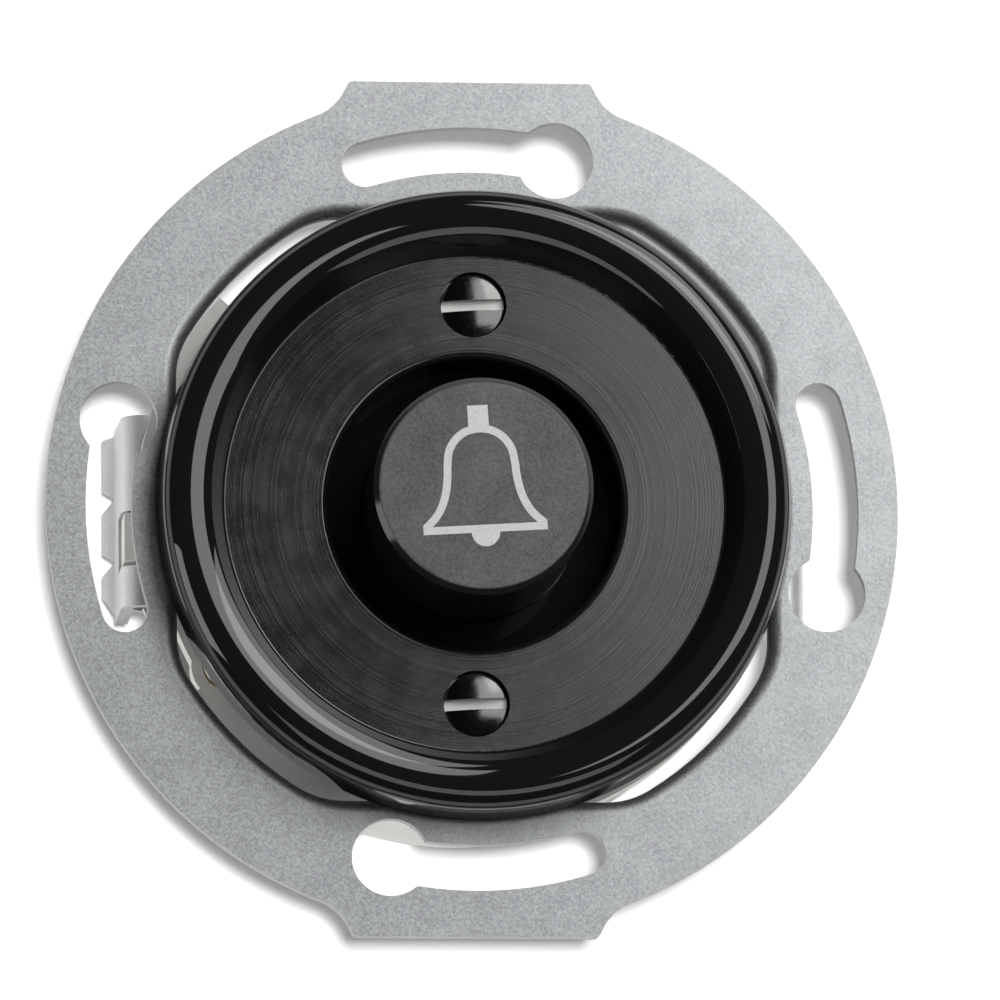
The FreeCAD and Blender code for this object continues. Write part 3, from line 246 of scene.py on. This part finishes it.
def turned_face(shader, radius, depth):
    """1 on the skimmed face of the disc and 0 elsewhere. The flat of the face lies midway in FACE_FRONT."""
    inside = shader.spread(radius, *FACE_END, 1.0, 0.0, smooth=True)
    outside = shader.spread(radius, *FACE_START, 0.0, 1.0, smooth=True)
    front = shader.spread(depth, *FACE_FRONT, 0.0, 1.0)
    front = shader.scale_up(front, shader.spread(depth, *FACE_BACK, 1.0, 0.0))
    return shader.scale_up(shader.scale_up(inside, outside), front)


def black_moulding(name):
    """Black moulded resin: a glossy rim, a face skimmed on a lathe whose pale turning lines are partly painted
    glints, and a dull well and side wall.
    """
    shader = Shader(name, (0.010, 0.010, 0.0095), roughness=0.1)
    radius = shader.radius_mm()
    depth = shader.depth_mm()
    face = turned_face(shader, radius, depth)
    fine = shader.noise(6.0, 2.0, 0.6)

    along_radius = shader.node("ShaderNodeCombineXYZ")
    shader.join(shader.scale_up(radius, MM), along_radius.inputs[0])
    turning = shader.noise(5.5, 5.0, 0.75, along_radius.outputs[0])
    coarse = shader.noise(1.6, 3.0, 0.5, along_radius.outputs[0])

    gloss = shader.spread(shader.noise(0.4, 2.0, 0.5), 0.35, 0.65, 0.025, 0.05)
    matt = shader.spread(turning, 0.3, 0.7, 0.18, 0.28)
    not_face = shader.math("SUBTRACT", 1.0, face)
    shader.rough(shader.sum(shader.scale_up(matt, face), shader.scale_up(gloss, not_face)))

    in_well = shader.spread(radius, *WELL_MOUTH, 1.0, 0.0, smooth=True)
    side = shader.scale_up(shader.spread(radius, *SIDE_START, 0.0, 1.0),
                           shader.spread(depth, *SIDE_FRONT, 0.0, 1.0))
    dull = shader.math("MAXIMUM", in_well, side)
    shader.feed(shader.surface.inputs["IOR"], shader.spread(dull, 0.0, 1.0, 1.5, 1.08))
    level = shader.spread(face, 0.0, 1.0, 0.5, 0.62)
    shader.feed(shader.surface.inputs["Specular IOR Level"], level)

    # The face's pale lines are partly the turned marks' own colour and partly painted glints of light, painted
    # stronger towards the well
    grooves_and_glints_near_well = shader.spread(radius, *NEAR_WELL_GROOVES_AND_GLINTS, 1.0, 0.15)
    wide_grooves_and_glints = shader.scale_up(shader.math("SUBTRACT", coarse, 0.5), grooves_and_glints_near_well)
    marks_and_glints = shader.sum(shader.math("SUBTRACT", turning, 0.5), wide_grooves_and_glints)
    worn = shader.spread(shader.noise(0.5, 3.0, 0.6), 0.38, 0.62, 0.75, 1.25)
    marks_and_glints = shader.scale_up(marks_and_glints, worn)
    lines_and_painted_glints = shader.sum(marks_and_glints, shader.scale_up(shader.math("SUBTRACT", fine, 0.5), 0.3))
    # Pale colour of the lines: turned marks' own tone with painted glints
    pale = shader.scale_up(shader.spread(lines_and_painted_glints, -0.06, 0.34, 0.0, 1.0), face)
    shader.color(shader.mix(pale, (0.006, 0.006, 0.0056), (0.07, 0.071, 0.069)))
    grooves = shader.scale_up(shader.sum(marks_and_glints, shader.scale_up(fine, 0.3)), face)
    shader.bump(grooves, 0.028, 0.8, rim_normal(shader, radius, depth))
    return shader.material


def satin_black(name):
    """The button: glossy sides and a satin top with faint grain."""
    side_roughness = 0.12
    shader = Shader(name, (0.012, 0.012, 0.0115), roughness=side_roughness)
    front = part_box("push_button")[0].y / MM
    top = shader.spread(shader.depth_mm(), front + 0.02, front + 0.1, 1.0, 0.0)
    grain = shader.noise(5.0, 4.0, 0.65)
    cloud = shader.noise(0.3, 3.0, 0.5)
    satin = shader.scale_up(shader.spread(grain, 0.3, 0.7, 0.4, 0.52), top)
    not_top = shader.math("SUBTRACT", 1.0, top)
    shader.rough(shader.sum(satin, shader.scale_up(not_top, side_roughness)))
    speckle = shader.sum(shader.scale_up(cloud, 0.25), shader.scale_up(grain, 0.75))
    shade = shader.scale_up(shader.spread(speckle, 0.36, 0.64, 0.15, 0.85), top)
    shader.color(shader.mix(shade, (0.009, 0.009, 0.0085), (0.095, 0.098, 0.094)))
    shader.feed(shader.surface.inputs["Specular IOR Level"], shader.spread(top, 0.0, 1.0, 0.4, 0.5))
    shader.bump(shader.scale_up(grain, top), 0.03, 0.7)
    return shader.material


def fired_clay(name):
    """The base: off-white fired clay with soft clouds and fine specks."""
    shader = Shader(name, (0.74, 0.73, 0.7), roughness=0.5)
    speck = shader.noise(1.6, 4.0, 0.7)
    cloud = shader.noise(0.08, 3.0, 0.6)
    tone = shader.sum(shader.scale_up(speck, 0.3), shader.scale_up(cloud, 0.7))
    shader.color(shader.ramp(tone, ((0.35, (0.7, 0.685, 0.65)), (0.6, (0.77, 0.76, 0.73)))))
    shader.rough(shader.spread(speck, 0.3, 0.7, 0.4, 0.62))
    shader.bump(speck, 0.03, 0.5)
    return shader.material


def bright_metal(name, light, dark, low, high):
    """Machined or plated small metal: drawn scratches and a little tarnish."""
    shader = Shader(name, light, metallic=1.0)
    drawn = shader.noise(2.0, 4.0, 0.6, shader.scaled((1.0, 6.0, 1.0)))
    stain = shader.noise(0.5, 3.0, 0.5)
    shader.color(shader.ramp(stain, ((0.3, dark), (0.6, light))))
    shader.rough(shader.spread(drawn, 0.3, 0.7, low, high))
    shader.bump(drawn, 0.006, 0.5)
    return shader.material


def screw_heads_painted_dark(name):
    """Polished cover screws: domes painted near black as a dark reflection, and a pale, rough driver slot."""
    shader = Shader(name, (0.2, 0.2, 0.2), metallic=1.0)
    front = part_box("cover_screw_top")[0].y / MM
    floor = shader.spread(shader.depth_mm(), front + 0.55, front + 0.7, 0.0, 1.0)
    worn = shader.noise(3.0, 4.0, 0.65)
    # The dome's near-black colour is a painted dark reflection of the room; the slot floor keeps a pale steel
    # colour
    shader.color(shader.mix(floor, (0.07, 0.07, 0.068), (0.46, 0.45, 0.44)))
    sheen = shader.spread(worn, 0.35, 0.7, 0.1, 0.2)
    shader.rough(shader.sum(shader.scale_up(floor, 0.35), sheen))
    shader.bump(worn, 0.01, 0.5)
    return shader.material


def sign_paint(name):
    """Light filling of the sign, a little worn."""
    shader = Shader(name, (0.7, 0.72, 0.71), roughness=0.5)
    wear = shader.noise(3.0, 4.0, 0.6)
    shader.color(shader.ramp(wear, ((0.3, (0.4, 0.412, 0.41)), (0.55, (0.48, 0.49, 0.487)))))
    shader.rough(shader.spread(wear, 0.3, 0.7, 0.45, 0.6))
    shader.bump(wear, 0.01, 0.4)
    return shader.material


HEADS = screw_heads_painted_dark("screw_heads_painted_dark")
SIGN = sign_paint("sign_paint")
SLOT_MATERIALS = {
    "zinc_sheet": zinc_plate("zinc_sheet", (0.47, 0.481, 0.489), (0.27, 0.279, 0.285)),
    "claw_steel": zinc_plate("claw_zinc", (0.72, 0.73, 0.73), (0.6, 0.61, 0.61), 0.7),
    "black_moulding": black_moulding("disc_black"),
    "black_button": satin_black("button_black"),
    "fired_clay": fired_clay("clay"),
    "brass": bright_metal("brass", (0.74, 0.55, 0.25), (0.6, 0.42, 0.17), 0.25, 0.4),
    "screw_steel": bright_metal("bright_steel", (0.72, 0.72, 0.7), (0.5, 0.5, 0.48), 0.26, 0.4),
    "contact_metal": bright_metal("contact_silver", (0.8, 0.79, 0.75), (0.65, 0.63, 0.58), 0.2, 0.35),
    "spring_wire": bright_metal("spring_wire", (0.62, 0.62, 0.62), (0.5, 0.5, 0.5), 0.22, 0.35),
}


def dress_node(entry):
    """Gives a CAD node its material, and smooth rounds between flat faces."""
    node = frame["nodes"][entry["node"]]
    is_cover_screw = entry["node"].startswith("cover_screw")
    node.data.materials.clear()
    node.data.materials.append(HEADS if is_cover_screw else SLOT_MATERIALS[entry["material_slot"]])
    for face in node.data.polygons:
        face.use_smooth = True
    whole = node.modifiers.new("Faces joined", "WELD")
    whole.merge_threshold = 0.0005 * MM
    edges = node.modifiers.new("Flat faces stay flat", "EDGE_SPLIT")
    edges.split_angle = math.radians(30)
    weights = node.modifiers.new("Large faces lead", "WEIGHTED_NORMAL")
    weights.keep_sharp = True


for subpart in frame["record"]["subparts"]:
    dress_node(subpart)


# Pieces

def finished_mesh(name, work):
    """Turns the faces outwards and makes a mesh of them."""
    bmesh.ops.recalc_face_normals(work, faces=work.faces[:])
    mesh = bpy.data.meshes.new(name)
    work.to_mesh(mesh)
    work.free()
    return mesh


def add_piece(name, mesh, material, body):
    """A piece of the picture that rides on a body."""
    piece = bpy.data.objects.new(name, mesh)
    bpy.context.scene.collection.objects.link(piece)
    mesh.materials.append(material)
    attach(piece, body)
    return piece


# The bell sign stands on its rim line, y = 0. BELL_HALF is the right half of its outer edge, crown to lip.
BELL_HALF = ((0, 8.59), (1.17, 8.35), (2.17, 7.67), (2.83, 6.66), (3.07, 5.46), (3.14, 4.45),
             (3.3, 3.38), (3.62, 2.31), (4.16, 1.35), (5.08, 0.42))
BELL_STEPS = 8
BELL_STROKE = 0.64
BAR_TOP = 0.27
BAR_UNDER = -0.36
LOOP_HALF = 0.84
LOOP_TOP = 10.18
LOOP_FOOT = 8.44
CLAPPER_RADIUS = 1.16
CLAPPER_STEPS = 16
SIGN_TILT = math.radians(3.4)
SIGN_LIFT = 0.025
SIGN_SINK = 0.05
SIGN_CENTRE = (0.08, -3.55)


def smooth_run(points, steps):
    """A smooth open line through points, with steps pieces between each two."""
    line = []
    last = len(points) - 1
    for number in range(last):
        before = points[max(number - 1, 0)]
        start, end = points[number], points[number + 1]
        after = points[min(number + 2, last)]
        for step in range(steps):
            t = step / steps
            line.append(tuple(
                0.5 * (2 * b + (c - a) * t + (2 * a - 5 * b + 4 * c - d) * t * t
                       + (3 * b - a - 3 * c + d) * t ** 3)
                for a, b, c, d in zip(before, start, end, after)))
    line.append(points[last])
    return line


def stroke_inside(line):
    """The line moved inwards by the stroke and run on to the top of the bar."""
    inner = []
    for number, (x, y) in enumerate(line):
        before = line[max(number - 1, 0)]
        after = line[min(number + 1, len(line) - 1)]
        dx, dy = after[0] - before[0], after[1] - before[1]
        length = math.hypot(dx, dy)
        point = (x + dy / length * BELL_STROKE, y - dx / length * BELL_STROKE)
        if point[1] > BAR_TOP and point[0] >= 0.0:
            inner.append(point)
    before, end = inner[-2:]
    reach = (BAR_TOP - end[1]) / (end[1] - before[1])
    inner.append((end[0] + (end[0] - before[0]) * reach, BAR_TOP))
    return inner


def bell_outlines():
    """Outer and inner closed outlines of the bell, in mm."""
    half = smooth_run(BELL_HALF, BELL_STEPS)
    lip = (BELL_HALF[-1][0], BAR_UNDER)
    loop = [(LOOP_HALF, LOOP_TOP), (LOOP_HALF, LOOP_FOOT)]
    right_side = loop + [point for point in half if point[0] > LOOP_HALF] + [lip]
    clapper = []
    for step in range(CLAPPER_STEPS + 1):
        angle = math.pi * step / CLAPPER_STEPS
        clapper.append((CLAPPER_RADIUS * math.cos(angle), BAR_UNDER - CLAPPER_RADIUS * math.sin(angle)))
    outer = right_side + clapper + [(-x, y) for x, y in reversed(right_side)]
    inner = stroke_inside(half)
    return outer, inner + [(-x, y) for x, y in reversed(inner[1:])]


def bell_sign():
    """The light sign, let into the button's top and a hair proud of it."""
    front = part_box("push_button")[0].y - SIGN_LIFT * MM
    tilt = Matrix.Rotation(SIGN_TILT, 2)
    work = bmesh.new()
    for outline in bell_outlines():
        verts = []
        for point in outline:
            x, z = tilt @ Vector(point)
            verts.append(work.verts.new(((x + SIGN_CENTRE[0]) * MM, front, (z + SIGN_CENTRE[1]) * MM)))
        for number, vert in enumerate(verts):
            work.edges.new((vert, verts[(number + 1) % len(verts)]))
    bmesh.ops.triangle_fill(work, edges=work.edges[:], use_beauty=True, normal=(0, -1, 0))
    walls = bmesh.ops.extrude_face_region(work, geom=work.faces[:])
    sunk = [item for item in walls["geom"] if isinstance(item, bmesh.types.BMVert)]
    bmesh.ops.translate(work, verts=sunk, vec=(0, SIGN_SINK * MM, 0))
    add_piece("bell_sign", finished_mesh("bell_sign", work), SIGN, "button")


SPRING_WIRE = 0.35
SPRING_TURNS = 6
STEPS_PER_TURN = 36
WIRE_SIDES = 12


def tube_mesh(name, line, radius, sides):
    """A closed tube along a line of points in metres."""
    work = bmesh.new()
    rings = []
    for number, point in enumerate(line):
        ahead = line[min(number + 1, len(line) - 1)] - line[max(number - 1, 0)]
        ahead.normalize()
        across = ahead.cross(Vector((0, 1, 0))).normalized()
        up = across.cross(ahead)
        ring = []
        for side in range(sides):
            angle = 2 * math.pi * side / sides
            offset = math.cos(angle) * across + math.sin(angle) * up
            ring.append(work.verts.new(point + radius * offset))
        rings.append(ring)
    for first, second in zip(rings, rings[1:]):
        for side in range(sides):
            after = (side + 1) % sides
            work.faces.new((first[side], first[after], second[after], second[side]))
    work.faces.new(rings[0][::-1])
    work.faces.new(rings[-1])
    mesh = finished_mesh(name, work)
    for face in mesh.polygons:
        face.use_smooth = len(face.vertices) == 4
    return mesh


def return_spring():
    """The coil behind the button, made at one fixed length."""
    low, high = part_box("return_spring")
    wire = SPRING_WIRE * MM
    radius = (high.x - low.x) / 2 - wire
    front, back = low.y + wire, high.y - wire
    steps = SPRING_TURNS * STEPS_PER_TURN
    line = []
    for step in range(steps + 1):
        angle = 2 * math.pi * step / STEPS_PER_TURN
        y = back + (front - back) * step / steps
        line.append(Vector((radius * math.cos(angle), y, radius * math.sin(angle))))
    coil = add_piece("return_coil", tube_mesh("return_coil", line, wire, WIRE_SIDES),
                     SLOT_MATERIALS["spring_wire"], "housing")
    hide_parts("return_spring")
    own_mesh(coil)


bell_sign()
return_spring()


# Camera

VIEW_AZIMUTH = math.radians(-5.5)
VIEW_ELEVATION = math.radians(-10.6)
VIEW_ROLL = math.radians(0.5)
# Metres from the camera to the ring's front
VIEW_DISTANCE = 1.0
PIXELS_PER_MM = 12.17
FRAME_PIXELS = 1000
PLATE_CENTRE_PX = (473.3, 506.9)
PLATE_FRONT = -1.2 * MM
SENSOR_WIDTH = 36.0

camera = bpy.data.objects.new("camera", bpy.data.cameras.new("camera"))
bpy.context.scene.collection.objects.link(camera)
bpy.context.scene.camera = camera
forward = Vector((-math.sin(VIEW_AZIMUTH) * math.cos(VIEW_ELEVATION),
                  math.cos(VIEW_AZIMUTH) * math.cos(VIEW_ELEVATION),
                  -math.sin(VIEW_ELEVATION)))
facing = Matrix.Rotation(VIEW_ROLL, 3, forward) @ forward.to_track_quat("-Z", "Y").to_matrix()
right, up = facing.col[0], facing.col[1]
aim = Vector((0, PLATE_FRONT, 0))
aim += right * ((FRAME_PIXELS / 2 - PLATE_CENTRE_PX[0]) / PIXELS_PER_MM * MM)
aim -= up * ((FRAME_PIXELS / 2 - PLATE_CENTRE_PX[1]) / PIXELS_PER_MM * MM)
camera.location = aim - forward * VIEW_DISTANCE
camera.rotation_mode = "QUATERNION"
camera.rotation_quaternion = facing.to_quaternion()
camera.data.sensor_width = SENSOR_WIDTH
camera.data.lens = SENSOR_WIDTH * VIEW_DISTANCE / (FRAME_PIXELS / PIXELS_PER_MM * MM)
camera.data.clip_start = 0.01
camera.data.clip_end = 20.0


# Lamps, backdrop and world

# Soft boxes that light the part: name, place, width and height in metres, power in watts
PART_LAMPS = (
    ("right_box", (0.13, -0.29, 0.1), (0.19, 0.28), 0.64),
    ("high_box", (0.2, -0.25, 0.26), (0.28, 0.28), 0.85),
    ("low_box", (0.0, -0.33, -0.27), (0.5, 0.16), 0.42),
    ("left_box", (-0.44, -0.16, -0.1), (0.26, 0.2), 0.55),
    ("rear", (0.35, 0.6, 0.45), (0.5, 0.5), 6.2),
)
# The lamp that casts the part's shadow on the table, to the right of and above the camera, in metres and watts
TABLE_LAMP_RIGHT = math.radians(2.3)
TABLE_LAMP_UP = math.radians(2.8)
TABLE_LAMP_DISTANCE = 2.0
TABLE_LAMP_SIZE = (0.12, 0.12)
TABLE_LAMP_POWER = 47.0
# The table: the gap behind the part in mm, and half its side in metres
TABLE_GAP = 0.2
TABLE_HALF = 1.5
TABLE_GREY = 0.8
TABLE_GLOW = 0.05
WORLD_FILL = 0.2
WORLD_MIRROR = 0.03

lit_part = bpy.data.collections.new("lit_part")
lit_table = bpy.data.collections.new("lit_table")
for item in [thing for thing in bpy.context.scene.objects if thing.type == "MESH"]:
    lit_part.objects.link(item)


def soft_light(name, place, size, power, lit):
    """A studio lamp that faces the object and lights the objects of one collection."""
    light = bpy.data.lights.new(name, "AREA")
    light.shape = "RECTANGLE"
    light.size, light.size_y = size
    light.energy = power
    lamp = bpy.data.objects.new(name, light)
    lamp.visible_camera = False
    bpy.context.scene.collection.objects.link(lamp)
    lamp.location = place
    lamp.rotation_mode = "QUATERNION"
    lamp.rotation_quaternion = (-Vector(place)).to_track_quat("-Z", "Y")
    lamp.light_linking.receiver_collection = lit


def table_lamp_place():
    """Near the camera, as seen from the part."""
    toward = camera.location.normalized()
    toward += right * math.tan(TABLE_LAMP_RIGHT) + up * math.tan(TABLE_LAMP_UP)
    return toward.normalized() * TABLE_LAMP_DISTANCE


def table_material():
    """Pale grey with a slight glow where it is seen, and clear from behind and for shadow rays."""
    material = bpy.data.materials.new("table_top")
    material.use_nodes = True
    top = Nodes(material.node_tree)
    top.tree.nodes.clear()
    ray = top.node("ShaderNodeLightPath").outputs
    geometry = top.node("ShaderNodeNewGeometry").outputs
    pale = top.node("ShaderNodeBsdfDiffuse")
    pale.inputs["Color"].default_value = (TABLE_GREY, TABLE_GREY, TABLE_GREY, 1.0)
    glow = top.node("ShaderNodeEmission")
    glow.inputs["Strength"].default_value = TABLE_GLOW
    glowing = top.node("ShaderNodeAddShader")
    top.join(pale.outputs[0], glowing.inputs[0])
    top.join(glow.outputs[0], glowing.inputs[1])
    mirrored = top.math("MAXIMUM", ray["Is Glossy Ray"], ray["Is Transmission Ray"])
    seen = top.math("MAXIMUM", mirrored, ray["Is Camera Ray"])
    shown = top.blend(seen, pale.outputs[0], glowing.outputs[0])
    hidden = top.math("MAXIMUM", geometry["Backfacing"], ray["Is Shadow Ray"])
    clear = top.node("ShaderNodeBsdfTransparent")
    final = top.blend(hidden, shown, clear.outputs[0])
    top.join(final, top.node("ShaderNodeOutputMaterial").inputs["Surface"])
    return material


def table_top():
    """The pale table that the part lies on with its back."""
    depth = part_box("base")[1].y + TABLE_GAP * MM
    corners = [(x * TABLE_HALF, depth, z * TABLE_HALF) for x, z in ((-1, -1), (1, -1), (1, 1), (-1, 1))]
    mesh = bpy.data.meshes.new("table_top")
    mesh.from_pydata(corners, [], [(0, 1, 2, 3)])
    mesh.materials.append(table_material())
    table = bpy.data.objects.new("table_top", mesh)
    bpy.context.scene.collection.objects.link(table)
    lit_table.objects.link(table)


def studio_world():
    """White for the camera, and for mirrors and glass that look past the part, and a dim fill besides."""
    world = bpy.data.worlds.new("studio")
    bpy.context.scene.world = world
    world.use_nodes = True
    sky = Nodes(world.node_tree)
    surface = next(n for n in sky.tree.nodes if n.type == "BACKGROUND")
    surface.inputs["Color"].default_value = (1.0, 1.0, 1.0, 1.0)
    ray = sky.node("ShaderNodeLightPath").outputs
    direction = sky.node("ShaderNodeSeparateXYZ")
    sky.join(sky.node("ShaderNodeTexCoord").outputs["Generated"], direction.inputs[0])
    behind = sky.math("GREATER_THAN", direction.outputs[1], 0.0)
    mirrored = sky.math("MAXIMUM", ray["Is Glossy Ray"], ray["Is Transmission Ray"])
    white = sky.math("MAXIMUM", ray["Is Camera Ray"], sky.math("MULTIPLY", mirrored, behind))
    dim = sky.math("MULTIPLY_ADD", ray["Is Diffuse Ray"], WORLD_FILL, WORLD_MIRROR)
    sky.join(sky.math("MAXIMUM", white, dim), surface.inputs["Strength"])


soft_light("table_light", table_lamp_place(), TABLE_LAMP_SIZE, TABLE_LAMP_POWER, lit_table)
for lamp_name, lamp_place, lamp_size, lamp_power in PART_LAMPS:
    soft_light(lamp_name, lamp_place, lamp_size, lamp_power, lit_part)
studio_world()
table_top()
bpy.context.scene.view_settings.view_transform = "Standard"
